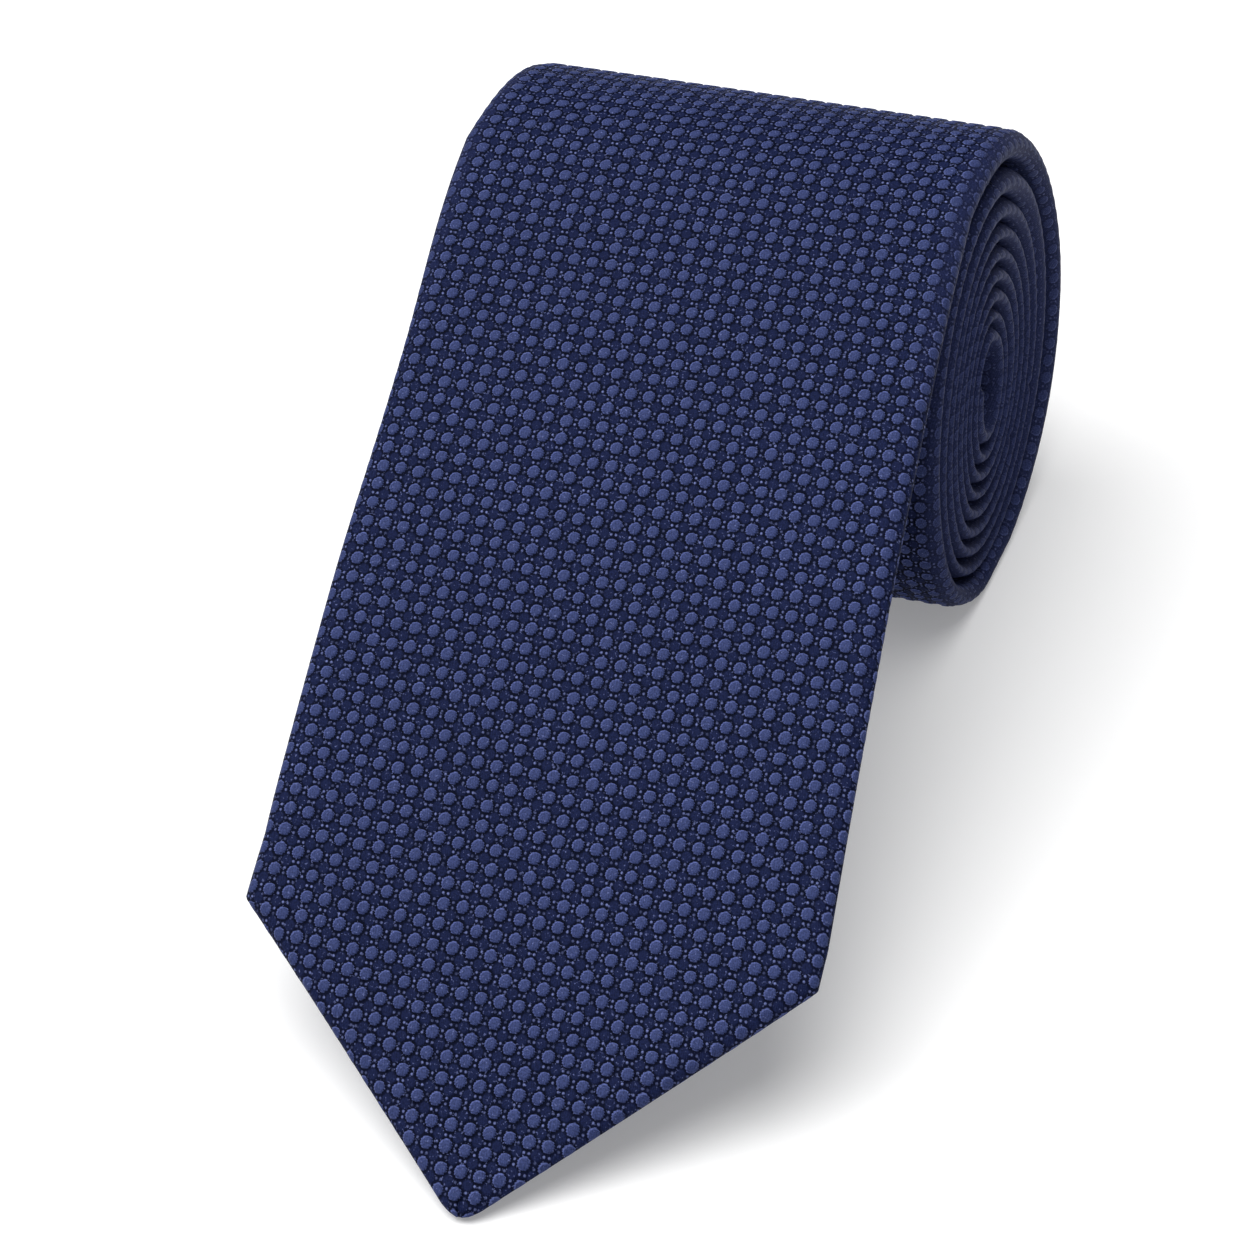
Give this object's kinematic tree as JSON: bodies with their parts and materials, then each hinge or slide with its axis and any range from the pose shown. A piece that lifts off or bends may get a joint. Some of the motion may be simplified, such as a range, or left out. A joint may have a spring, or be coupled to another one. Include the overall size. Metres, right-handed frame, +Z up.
{
  "type": "rolled necktie",
  "caption": "Woven silk necktie, rolled up from its narrow end with the wide pointed blade lying free in front of the roll.",
  "frame": {"origin": "on the table, under the middle of the whole tie's box", "axes": "+X along the roll's axis and across the cloth, -Y the way the free blade points, +Z up from the table"},
  "size_m": [0.0972, 0.2032, 0.0772],
  "materials": {
    "silk": "navy jacquard silk with raised blue dots, soft sheen",
    "tipping": "plain dark navy twill lining, satin sheen",
    "interlining": "napped undyed wool blend",
    "thread": "twisted navy sewing thread",
    "label": "blank woven satin label",
    "care_label": "blank printed-ribbon care label"
  },
  "bodies": {
    "roll": {"blade_shell_rolled": "silk", "neck_shell": "silk", "tail_shell": "silk", "interlining_rolled": "interlining", "tail_tipping": "tipping", "tail_bar_tack": "thread", "slip_stitch_rolled": "thread", "blade_neck_seam": "thread", "neck_tail_seam": "thread"},
    "blade": {"blade_shell_free": "silk", "interlining_free": "interlining", "blade_tipping": "tipping", "blade_bar_tack": "thread", "slip_stitch_free": "thread", "slack_loop": "thread", "keeper_loop": "silk", "label": "label", "care_label": "care_label", "keeper_loop_stitch_left": "thread", "keeper_loop_stitch_right": "thread", "label_stitch_left": "thread", "label_stitch_right": "thread", "tipping_stitch_left": "thread", "tipping_stitch_right": "thread"}
  },
  "joints": [
    {"name": "blade_lift", "type": "hinge", "parent": "roll", "child": "blade", "pos_m": [0, 0.05473, 0.07637], "axis": [-1, 0, 0], "range_deg": [0, 60]}
  ]
}
